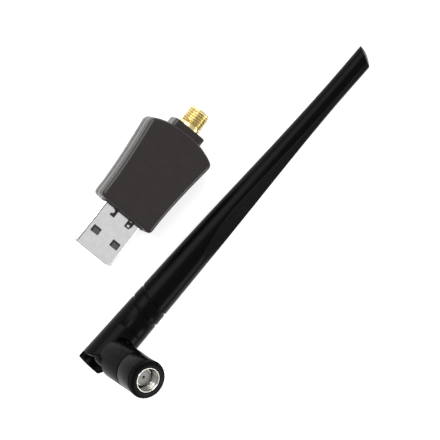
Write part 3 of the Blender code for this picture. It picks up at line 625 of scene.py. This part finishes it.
def make_top_cover():
    """The upper shell, with a groove round its wall, a rounded top edge and a collar over the plug."""
    split = SPLIT_Z + SPLIT_GAP
    profile = [(split, EDGE_BREAK), (split + EDGE_BREAK, 0.0)]
    profile += [(GROOVE_Z[0], 0.0), (GROOVE_Z[0] + 0.12, GROOVE_DEPTH)]
    profile += [(GROOVE_Z[1] - 0.12, GROOVE_DEPTH), (GROOVE_Z[1], 0.0)]
    profile = softened(profile, 0.1)
    round_steps = 9
    for i in range(round_steps + 1):
        angle = pi / 2 * i / round_steps
        profile.append((HOUSING_HEIGHT - TOP_ROUND * (1 - sin(angle)), TOP_ROUND * (1 - cos(angle))))
    profile.append((HOUSING_HEIGHT, TOP_ROUND + 1.0))
    plug_top = AXIS_Z + PLUG_HEIGHT / 2
    collar = rounded_rectangle(PLUG_WIDTH / 2 + COLLAR_SIDE, split + EDGE_BREAK, plug_top + COLLAR_TOP, 0.5)
    steps = [
        ("UNION", boss(split, BOSS_HIGH_Z + 1.0)),
        ("UNION", prism(collar, -HOUSING_HALF_LENGTH - COLLAR_PROUD, -HOUSING_HALF_LENGTH + 0.8, "Y")),
        ("DIFFERENCE", housing_loft(((SPLIT_Z - 1.0, WALL), (HOUSING_HEIGHT - CEILING, WALL)))),
        ("DIFFERENCE", jack_bore()),
        ("DIFFERENCE", plug_opening()),
    ]
    cover = combined("top_cover_shell", housing_loft(profile), steps)
    add_piece(cover, HOUSING, "adapter", ["top_cover"])


# ---------------------------------------------------------------- USB plug

def make_usb_shell():
    """Folded sheet with eased edges, a seam by its left fold, latch windows and two openings at its root."""
    low = AXIS_Z - PLUG_HEIGHT / 2
    high = AXIS_Z + PLUG_HEIGHT / 2
    half = PLUG_WIDTH / 2
    ease = 0.1
    stations = (
        (0.0, PLUG_BACK_Y), (0.0, PLUG_FRONT_Y + ease), (ease * 0.3, PLUG_FRONT_Y + ease * 0.3),
        (ease, PLUG_FRONT_Y), (PLUG_SHEET - ease, PLUG_FRONT_Y), (PLUG_SHEET, PLUG_FRONT_Y + ease),
        (PLUG_SHEET, PLUG_BACK_Y),
    )
    rings = []
    for inset, y in stations:
        outline = rounded_rectangle(half - inset, low + inset, high - inset, PLUG_FOLD - inset)
        rings.append([(x, y, z) for x, z in outline])
    steps = []
    window_y = PLUG_FRONT_Y + WINDOW_FROM_FRONT
    reach = WINDOW[1] / 2
    for x in (-WINDOW_X, WINDOW_X):
        outline = rounded_rectangle(WINDOW[0] / 2, window_y - reach, window_y + reach, 0.18, 4, x)
        for face in (low, high):
            steps.append(("DIFFERENCE", prism(outline, face - FACE_CUT, face + FACE_CUT, "Z")))
    rear = -HOUSING_HALF_LENGTH - 0.1
    for outline in (keyhole_outline(rear), sprung_outline(rear)):
        steps.append(("DIFFERENCE", prism(outline, high - FACE_CUT, high + FACE_CUT, "Z")))
    seam_low = (SEAM_X - SEAM_WIDTH / 2, PLUG_FRONT_Y - 1.0, high - PLUG_SHEET - 0.15)
    seam_high = (SEAM_X + SEAM_WIDTH / 2, rear, high + 1.0)
    steps.append(("DIFFERENCE", box(seam_low, seam_high)))
    joint_low = (-0.05, PLUG_FRONT_Y - 1.0, low - 1.0)
    joint_high = (0.05, PLUG_BACK_Y + 1.0, low + 0.12)
    steps.append(("DIFFERENCE", box(joint_low, joint_high)))
    shell = combined("usb_shell_folded", loft(rings, closed_loop=True), steps)
    add_piece(shell, STEEL, "adapter", ["usb_shell"])


def keyhole_outline(rear):
    """The left opening: a slot with a round tongue of metal biting into its outer side."""
    left, right, front = -2.95, -1.45, rear - ROOT_OPENING_LENGTH
    bite = 0.62
    centre_y = rear - 0.95
    points = [(left, front), (right, front), (right, rear + 0.5), (left, rear + 0.5)]
    steps = 8
    for i in range(steps + 1):
        angle = pi / 2 - pi * i / steps
        points.append((left + bite * 1.1 * cos(angle), centre_y + bite * sin(angle)))
    return points


def sprung_outline(rear):
    """The right opening, a little wider towards the housing."""
    left, front = 2.0, rear - ROOT_OPENING_LENGTH
    return [(left, front), (left + 1.5, front), (left + 1.95, rear - 1.2), (left + 1.95, rear + 0.5),
            (left, rear + 0.5)]


def make_window_tabs():
    """The sprung tabs of the insulator's cage, seen sloping away under the upper windows, painted dark as the
    shade inside the windows.
    """
    middle = PLUG_FRONT_Y + WINDOW_FROM_FRONT
    inside = AXIS_Z + PLUG_HEIGHT / 2 - PLUG_SHEET
    path = [(middle - 1.1, inside + 0.2), (middle - 0.5, inside + 0.16), (middle + 0.45, inside + 0.02)]
    slope = softened(path, 0.2)
    outline = slope + [(y, z - TAB_SHEET) for y, z in reversed(slope)]
    for side, x in (("left", -WINDOW_X), ("right", WINDOW_X)):
        mesh = prism(outline, x + TAB_REACH[0], x + TAB_REACH[1], "X")
        tab = to_object(f"window_tab_{side}", mesh, ADAPTER)
        add_piece(tab, SHADED_TAB_STEEL, "adapter", [])


def make_latch_spring():
    """The small bright leaf that curls inside the right opening."""
    points = []
    steps = 10
    for i in range(steps + 1):
        t = i / steps
        points.append((LEAF_START_Y + LEAF_LENGTH * t, LEAF_Z + LEAF_WAVE * sin(2 * pi * t)))
    outline = points + [(y, z - LEAF_SHEET) for y, z in reversed(points)]
    leaf = to_object("latch_spring", prism(outline, *LEAF_X, "X"), ADAPTER)
    add_piece(leaf, STEEL, "adapter", [])


# ---------------------------------------------------------------- jack

def thread_height(turn):
    """Height of a thread's flank, nought to one, at a place within one turn."""
    place = turn - int(turn // 1)
    return min(max(1.0 - abs(place - 0.5) * 2.6 + 0.16, 0.0), 1.0)


def threaded_rings(axis, centre, start, end, crest, depth, segments):
    """Rings of a helical thread that runs out smoothly at both ends."""
    rows = int(ceil((end - start) / THREAD_PITCH * 12))
    rings = []
    for row in range(rows + 1):
        height = start + (end - start) * row / rows
        runout = min(1.0, min(height - start, end - height) / (THREAD_PITCH * 0.5))
        ring = []
        for i in range(segments):
            angle = 2 * pi * i / segments
            lift = thread_height((height - start) / THREAD_PITCH - i / segments) * runout
            ring.append(on_axis(axis, crest - depth + depth * lift, angle, height, centre))
        rings.append(ring)
    return rings


def make_jack_body():
    """Gold-plated jack with a true helical thread."""
    segments = 96
    root = JACK_RADIUS - THREAD_DEPTH
    neck = [(1.0, 9.6), (JACK_FLANGE_RADIUS, 9.6), (JACK_FLANGE_RADIUS, JACK_FLANGE_END_Y - 0.15),
            (JACK_FLANGE_RADIUS - 0.15, JACK_FLANGE_END_Y), (root - 0.05, JACK_FLANGE_END_Y)]
    thread_start = JACK_FLANGE_END_Y + 0.2
    thread_end = JACK_TIP_Y - 0.45
    tip = [(root, JACK_TIP_Y - 0.3), (root - 0.05, JACK_TIP_Y - 0.1), (root - 0.16, JACK_TIP_Y),
           (JACK_BORE_RADIUS + 0.14, JACK_TIP_Y), (JACK_BORE_RADIUS, JACK_TIP_Y - 0.14),
           (JACK_BORE_RADIUS, 16.0), (JACK_LINER_RADIUS, 15.95), (JACK_LINER_RADIUS, 12.5), (1.0, 12.45)]
    rings = plain_rings(neck, "Y", JACK_CENTRE, segments)
    rings += threaded_rings("Y", JACK_CENTRE, thread_start, thread_end, JACK_RADIUS, THREAD_DEPTH, segments)
    rings += plain_rings(tip, "Y", JACK_CENTRE, segments)
    block = box((-3.1, 8.8, AXIS_Z - 3.1), (3.1, 11.5, AXIS_Z + 3.1))
    steps = [("UNION", block), ("DIFFERENCE", cylinder(1.0, 8.0, 11.0, "Y", JACK_CENTRE, segments))]
    body = combined("jack_threaded", loft(rings, closed_loop=True), steps)
    add_piece(body, GOLD, "adapter", ["jack_body"])


def make_jack_core():
    """The jack's insulator and its rounded centre pin."""
    outer = JACK_LINER_RADIUS - TOUCH
    liner = [(outer, 12.6), (outer, 16.8), (1.9, 16.9), (0.6, 16.9), (0.5, 16.8), (0.5, 12.6)]
    insulator = to_object("jack_insulator", turned(liner, "Y", JACK_CENTRE, 64, hollow=True), ADAPTER)
    add_piece(insulator, JACK_PTFE, "adapter", ["jack_dielectric"])
    pin = [(JACK_PIN_RADIUS, 7.4), (JACK_PIN_RADIUS, 19.4), (0.38, 19.65), (0.22, 19.85), (0.06, 19.9)]
    centre_pin = to_object("jack_pin_rounded", turned(pin, "Y", JACK_CENTRE, 32), ADAPTER)
    add_piece(centre_pin, GOLD, "adapter", ["jack_centre_pin"])


# ---------------------------------------------------------------- whip

def whip_radius(y):
    return smooth_value(WHIP_RADII, y)


def flat_distance(y):
    """Distance of the two flats from the axis; they run out of the round part in a smooth curve."""
    outside = whip_radius(FLAT_START_Y) * 1.04
    if y < FLAT_START_Y:
        return outside + 0.1 * (FLAT_START_Y - y)
    t = min((y - FLAT_START_Y) / (FLAT_FULL_Y - FLAT_START_Y), 1.0)
    return outside + (FLAT_DISTANCE - outside) * (2 * t - t * t)


def whip_section(y, radius, slant, segments=160, sharpness=90):
    """A ring of the whip: a circle cut by two opposite flats with soft edges, slanted towards x and z."""
    limit = flat_distance(y)
    points = []
    for i in range(segments):
        angle = 2 * pi * i / segments
        across = abs(cos(angle - FLAT_TURN))
        reach = (radius ** -sharpness + (across / limit) ** sharpness) ** (-1 / sharpness)
        x = reach * sin(angle)
        z = reach * cos(angle)
        points.append((x, y - slant[0] * x - slant[1] * z, z))
    return points


def radome_stations():
    """(y, radius, slant) of each ring from the fork's end to the tip."""
    low = FORK_TOP_Y - RADOME_LAP
    square = (0.0, 0.0)
    ease = 0.1
    stations = [(low, whip_radius(low) - ease, square), (low + 0.03, whip_radius(low) - 0.03, square),
                (low + ease, whip_radius(low), square)]
    bow = 8
    for ring in RING_Y:
        for i in range(bow + 1):
            t = 2 * i / bow - 1
            depth = RING_DEPTH * (1 - abs(t) ** 3)
            stations.append((ring + RING_HALF_WIDTH * t, whip_radius(ring) - depth, RING_SLANT))
    y = RING_Y[1] + 1.5
    while y < WHIP_TIP_Y - 3.4:
        t = (y - RING_Y[1]) / (WHIP_TIP_Y - RING_Y[1])
        slant = tuple(ring + (tip - ring) * t for ring, tip in zip(RING_SLANT, TIP_SLANT))
        stations.append((y, whip_radius(y), slant))
        y += 1.5
    edge_steps = 5
    tip = WHIP_TIP_Y - TIP_SHORT
    for i in range(edge_steps + 1):
        angle = pi / 2 * i / edge_steps
        radius = whip_radius(tip) - TIP_EDGE * (1 - cos(angle))
        stations.append((tip - TIP_EDGE + TIP_EDGE * sin(angle), radius, TIP_SLANT))
    crown_steps = 6
    for i in range(1, crown_steps):
        t = i / crown_steps
        radius = (whip_radius(tip) - TIP_EDGE) * (1 - t)
        stations.append((tip + TIP_CROWN * (1 - (1 - t) ** 2), radius, TIP_SLANT))
    return stations


def make_radome():
    """The long cover, hollow in steps for the cable, the sleeve and the rod."""
    rings = [whip_section(y, radius, slant) for y, radius, slant in radome_stations()]
    hollow = [(3.65, FORK_TOP_Y - 1.0), (3.65, 12.3), (2.55, 12.4), (2.55, 44.6), (1.3, 45.2), (1.3, 92.0)]
    steps = [("DIFFERENCE", turned(hollow, "Y", segments=48))]
    radome = combined("radome_moulding", loft(rings), steps, ANTENNA)
    add_piece(radome, BLACK, "whip", ["radome"], 40.0)


def fork_end_outline():
    """Everything below the fork's ends, seen along the pin: round ears, then a slope to the back wall."""
    points = [(-FORK_CUT_Z, HEEL_Z[0]), (-FORK_CUT_Z, 0.0)]
    steps = 18
    for i in range(1, steps + 1):
        angle = pi - pi / 2 * i / steps
        points.append((FORK_CUT_Z * cos(angle), FORK_CUT_Z * sin(angle)))
    far = 9.0
    points += [(0.0, far), (-far, far), (-far, HEEL_Z[1]), (FORK_END_Y, HEEL_Z[1])]
    return points


def make_hinge_fork():
    """The whip's lower end: a hood with two ears, open to one side and at its end for the knuckle."""
    top = whip_radius(FORK_TOP_Y)
    profile = [(whip_radius(FORK_END_Y) - 0.15, FORK_END_Y), (whip_radius(FORK_END_Y), FORK_END_Y + 0.15),
               (whip_radius(0.0), 0.0), (top, FORK_TOP_Y), (3.6, FORK_TOP_Y), (3.6, 12.0)]
    slot = FORK_SLOT_HALF
    steps = [
        ("DIFFERENCE", cylinder(FORK_BORE, FORK_END_Y - 1.0, FORK_BORE_TOP_Y, "Y")),
        ("DIFFERENCE", cylinder(FORK_ARCH_RADIUS, FORK_CUT_Z, 8.0, "Z", segments=90)),
        ("DIFFERENCE", box((-slot, -9.0, 0.5), (slot, FORK_BORE_TOP_Y - 0.1, 8.0))),
    ]
    for side in (-1, 1):
        reach = sorted((side * (TONGUE_HALF + 0.12), side * (FORK_BORE + 0.3)))
        steps.append(("UNION", cylinder(2.0, reach[0], reach[1], "X", segments=40)))
    steps += [
        ("DIFFERENCE", prism(fork_end_outline(), -8.0, 8.0, "X")),
        ("DIFFERENCE", cylinder(PIN_BORE, -4.6, 4.6, "X", segments=32)),
        ("DIFFERENCE", cylinder(CABLE_BORE, 4.0, 13.0, "Y", segments=32)),
    ]
    fork = combined("hinge_fork_moulding", turned(profile, "Y", segments=96), steps, ANTENNA)
    rounded_over(fork, 0.13, 3)
    add_piece(fork, BLACK, "whip", ["hinge_fork"], 60.0)


# ---------------------------------------------------------------- knuckle

def relief_outline():
    """The barrel's inner corner that would meet the fork's back wall when straight, seen along the pin."""
    gap = 0.3
    inner = BARREL_START - 1.0
    start = HEEL_Z[0] + gap
    end = HEEL_Z[1] + gap
    depth = -FORK_END_Y + gap
    return [(start, BARREL_START), (end, depth), (-7.0, depth), (-7.0, inner), (start, inner)]


def make_knuckle():
    """A round barrel with a seat for the nut, and a ball-shaped tongue that turns between the fork's ears."""
    shoulder = BARREL_RADIUS - SEAT_STEP
    seat = NUT_START - SEAT_GAP
    barrel = [(2.0, BARREL_START), (BARREL_RADIUS, BARREL_START), (BARREL_RADIUS, BARREL_END),
              (shoulder, BARREL_END), (shoulder, seat), (2.0, seat)]
    ball = [(1.0, -TONGUE_HALF)]
    ball_steps = 20
    limit = asin((TONGUE_HALF - 0.12) / TONGUE_RADIUS)
    for i in range(ball_steps + 1):
        angle = -limit + 2 * limit * i / ball_steps
        ball.append((TONGUE_RADIUS * cos(angle), TONGUE_RADIUS * sin(angle)))
    ball.append((1.0, TONGUE_HALF))
    steps = [
        ("DIFFERENCE", prism(relief_outline(), -8.0, 8.0, "X")),
        ("UNION", turned(ball, "X", segments=72)),
        ("UNION", box((-TONGUE_HALF, 1.2 - NECK_HALF, 0.0), (TONGUE_HALF, NECK_HALF, BARREL_START + 0.5))),
        ("DIFFERENCE", box((-CABLE_BORE, -CABLE_BORE, -6.0), (CABLE_BORE, 6.0, CABLE_BORE))),
        ("DIFFERENCE", cylinder(CABLE_BORE, -1.0, NUT_START + 1.0, "Z", segments=32)),
        ("DIFFERENCE", cylinder(FERRULE_RADIUS + TOUCH, FERRULE_START - TOUCH, NUT_START + 1.0, "Z")),
        ("DIFFERENCE", cylinder(PIN_BORE, -6.0, 6.0, "X", segments=32)),
    ]
    knuckle = combined("knuckle_moulding", turned(softened(barrel, 0.3), "Z", segments=112), steps, ANTENNA)
    add_piece(knuckle, BLACK, "knuckle", ["knuckle"], 32.0)


def make_connector():
    """What shows inside the nut: the ferrule's rim, the white insulator, painted grey as shade deep in the
    nut, and the socket's small hole.
    """
    inner = FERRULE_RADIUS - 0.2
    neck = FERRULE_RADIUS - 0.35
    ferrule = [(FERRULE_RADIUS, FERRULE_START), (FERRULE_RADIUS, 16.15), (neck + 0.12, 16.15),
               (neck + 0.12, 16.85), (FERRULE_RADIUS, 16.85), (FERRULE_RADIUS, FERRULE_FACE),
               (inner, FERRULE_FACE), (inner, 17.25), (neck - 0.2, 17.05), (neck - 0.2, 12.5), (0.9, 12.3),
               (0.9, FERRULE_START)]
    rings = turned(softened(ferrule, 0.06, closed=True), "Z", hollow=True)
    add_piece(to_object("ferrule_turned", rings, ANTENNA), NICKEL, "knuckle", ["plug_body"])
    front = FERRULE_FACE - 0.1
    bore = 0.6
    lip = 0.4
    white = [(neck - 0.25, 12.6), (neck - 0.25, 17.05), (inner - TOUCH, 17.3), (inner - TOUCH, front),
             (lip, front), (lip, front - 0.8), (bore, front - 0.8), (bore, 12.6)]
    rings = turned(softened(white, 0.05, closed=True), "Z", hollow=True)
    add_piece(to_object("plug_insulator", rings, ANTENNA), SHADED_PLUG_PTFE, "knuckle", ["plug_dielectric"])
    mouth = front - SOCKET_RECESS
    socket = [(0.55, 9.8), (0.55, mouth), (0.4, mouth), (0.4, 14.6), (0.15, 14.4), (0.15, 9.8)]
    rings = turned(socket, "Z", segments=32, hollow=True)
    turned_socket = to_object("plug_socket_turned", rings, ANTENNA)
    add_piece(turned_socket, SOCKET_GOLD, "knuckle", ["plug_socket"])


# ---------------------------------------------------------------- coupling nut

def knurled_ring(radius, z, depth, per_rib=6):
    """A ring with rounded ribs; no depth gives a plain ring."""
    points = []
    count = KNURL_RIBS * per_rib
    for i in range(count):
        angle = 2 * pi * i / count
        reach = radius - depth * cos(angle * KNURL_RIBS / 2) ** 2
        points.append((reach * cos(angle), reach * sin(angle), z))
    return points


def make_nut_grip():
    """The coupling nut's moulded grip, with its knurled rim."""
    bore = INSERT_RADIUS + TOUCH
    neck = FERRULE_RADIUS + 0.3
    step = KNURL_Z[0] - 0.35
    waist = NUT_RADIUS - 0.25
    low, high = KNURL_Z
    levels = [
        (NUT_RADIUS - 0.22, NUT_START, 0), (NUT_RADIUS - 0.07, NUT_START + 0.06, 0),
        (NUT_RADIUS, NUT_START + 0.22, 0), (NUT_RADIUS, step, 0), (NUT_RADIUS - 0.05, step + 0.08, 0),
        (waist, step + 0.15, 0), (waist, low - 0.02, 0),
        (KNURL_RADIUS - 0.2, low, KNURL_DEPTH * 0.6), (KNURL_RADIUS - 0.06, low + 0.06, KNURL_DEPTH),
        (KNURL_RADIUS, low + 0.16, KNURL_DEPTH), (KNURL_RADIUS, high - 0.1, KNURL_DEPTH),
        (KNURL_RADIUS - 0.08, high, KNURL_DEPTH * 0.9),
        (KNURL_RADIUS - 0.3, NUT_FACE - 0.06, KNURL_DEPTH * 0.2),
        (KNURL_RADIUS - 0.5, NUT_FACE, 0), (bore + 0.08, NUT_FACE, 0), (bore, NUT_FACE - 0.08, 0),
        (bore, INSERT_START - TOUCH, 0), (neck, INSERT_START - TOUCH, 0), (neck, NUT_START, 0),
    ]
    rings = [knurled_ring(*level) for level in levels]
    grip = to_object("nut_grip_knurled", loft(rings, closed_loop=True), ANTENNA)
    add_piece(grip, BLACK, "coupling_nut", ["nut_grip"], 28.0)


def make_nut_insert():
    """The threaded metal insert inside the grip, with the groove for its snap ring."""
    segments = 96
    middle = (0, 0, 0)
    shoulder = FERRULE_RADIUS + 0.1
    groove = 2.75
    outside = [(shoulder, INSERT_START), (INSERT_RADIUS, INSERT_START), (INSERT_RADIUS, NUT_FACE - 0.1),
               (INSERT_RADIUS - 0.1, NUT_FACE), (INSERT_BORE + 0.3, NUT_FACE),
               (INSERT_BORE + 0.1, NUT_FACE - 0.2)]
    inside = [(INSERT_BORE, INSERT_SHOULDER_Z), (shoulder, INSERT_SHOULDER_Z), (shoulder, 16.95),
              (groove, 16.95), (groove, 16.05), (shoulder, 16.05)]
    thread_start = INSERT_SHOULDER_Z + 0.9
    thread_end = NUT_FACE - 0.4
    thread = threaded_rings("Z", middle, thread_start, thread_end, INSERT_BORE + 0.3, 0.25, segments)
    rings = plain_rings(outside, "Z", middle, segments)
    rings += list(reversed(thread))
    rings += plain_rings(inside, "Z", middle, segments)
    insert = to_object("nut_insert_threaded", loft(rings, closed_loop=True), ANTENNA)
    add_piece(insert, NICKEL, "coupling_nut", ["nut_insert"])


# ---------------------------------------------------------------- CAD nodes that stay

KEPT = {
    "circuit_board": BOARD,
    "wifi_chip": EPOXY,
    "rf_front_end_chip": EPOXY,
    "memory_chip": EPOXY,
    "voltage_regulator": EPOXY,
    "power_inductor": EPOXY,
    "crystal": CAN_NICKEL,
    "usb_insulator": INSULATOR,
    "usb_contact_1": CONTACT_GOLD,
    "usb_contact_2": CONTACT_GOLD,
    "usb_contact_3": CONTACT_GOLD,
    "usb_contact_4": CONTACT_GOLD,
    "hinge_pin_left": PIN_STEEL,
    "hinge_pin_right": PIN_STEEL,
    "whip_coax": JACKET,
    "knuckle_coax": JACKET,
    "dipole_sleeve": BRASS,
    "radiator_rod": BRASS,
    "gasket": SILICONE,
    "snap_ring": PIN_STEEL,
}


def dress_kept_nodes():
    for name, finish in KEPT.items():
        materials = frame["nodes"][name].data.materials
        materials.clear()
        materials.append(finish)


# ---------------------------------------------------------------- stage

AIM = Vector((22.169, 1.750, 4.428)) * MM
CAMERA_BACK = Vector((-0.27079, -0.10269, 0.95715))
CAMERA_RIGHT = Vector((0.7427, 0.61028, 0.2756))
CAMERA_DISTANCE = 0.8
CAMERA_LENS = 248.96
LIGHT_DISTANCE = 1.5
WORLD_STRENGTH = 0.72
FLOOR_GLOW = 0.5             # the table top's own light, so that it renders white


def make_floor():
    """A pale table top, wide enough to fill every view."""
    half = 3.0
    bm = bmesh.new()
    corners = [bm.verts.new((x * half, y * half, 0.0)) for x, y in ((-1, -1), (1, -1), (1, 1), (-1, 1))]
    bm.faces.new(corners)
    mesh = bpy.data.meshes.new("table_top")
    bm.to_mesh(mesh)
    bm.free()
    floor = bpy.data.objects.new("table_top", mesh)
    bpy.context.scene.collection.objects.link(floor)
    nodes = Nodes("table_paper")
    paper = nodes.noise(nodes.coordinates(ADAPTER), 0.2)
    nodes.link(nodes.blend(nodes.spread(paper, 0.0, 1.0), (0.96, 0.96, 0.96), (0.98, 0.98, 0.98)),
               nodes.shader.inputs["Base Color"])
    nodes.shader.inputs["Roughness"].default_value = 0.9
    nodes.shader.inputs["Specular IOR Level"].default_value = 0.1
    nodes.shader.inputs["Emission Color"].default_value = (1.0, 1.0, 1.0, 1.0)
    nodes.shader.inputs["Emission Strength"].default_value = FLOOR_GLOW
    mesh.materials.append(nodes.material)


def add_softbox(name, toward, size, power):
    """A square area light that faces the object from a direction."""
    data = bpy.data.lights.new(name, "AREA")
    data.shape = "RECTANGLE"
    data.size = size
    data.size_y = size
    data.energy = power
    light = bpy.data.objects.new(name, data)
    direction = Vector(toward).normalized()
    light.location = AIM + direction * LIGHT_DISTANCE
    light.rotation_euler = direction.to_track_quat("Z", "Y").to_euler()
    bpy.context.scene.collection.objects.link(light)


def make_world():
    world = bpy.data.worlds.new("studio")
    world.use_nodes = True
    background = world.node_tree.nodes["Background"]
    background.inputs["Color"].default_value = (1.0, 1.0, 1.0, 1.0)
    background.inputs["Strength"].default_value = WORLD_STRENGTH
    bpy.context.scene.world = world


def make_camera():
    data = bpy.data.cameras.new("camera")
    data.sensor_width = 36.0
    data.lens = CAMERA_LENS
    data.clip_start = 0.01
    data.clip_end = 20.0
    camera = bpy.data.objects.new("camera", data)
    back = CAMERA_BACK.normalized()
    right = (CAMERA_RIGHT - back * CAMERA_RIGHT.dot(back)).normalized()
    turn = Matrix((right, back.cross(right), back)).transposed().to_4x4()
    camera.matrix_world = Matrix.Translation(AIM + back * CAMERA_DISTANCE) @ turn
    bpy.context.scene.collection.objects.link(camera)
    bpy.context.scene.camera = camera


def make_stage():
    make_floor()
    make_world()
    add_softbox("softbox_left", (-0.95, 0.35, 0.62), 1.1, 16.0)
    add_softbox("softbox_right", (0.9, 0.0, 0.48), 0.6, 6.0)
    add_softbox("small_softbox", (-0.52, -0.11, 0.84), 0.3, 3.0)
    make_camera()
    bpy.context.scene.view_settings.view_transform = "Standard"


make_bottom_cover()
make_top_cover()
make_usb_shell()
make_window_tabs()
make_latch_spring()
make_jack_body()
make_jack_core()
make_radome()
make_hinge_fork()
make_knuckle()
make_connector()
make_nut_grip()
make_nut_insert()
dress_kept_nodes()
make_stage()
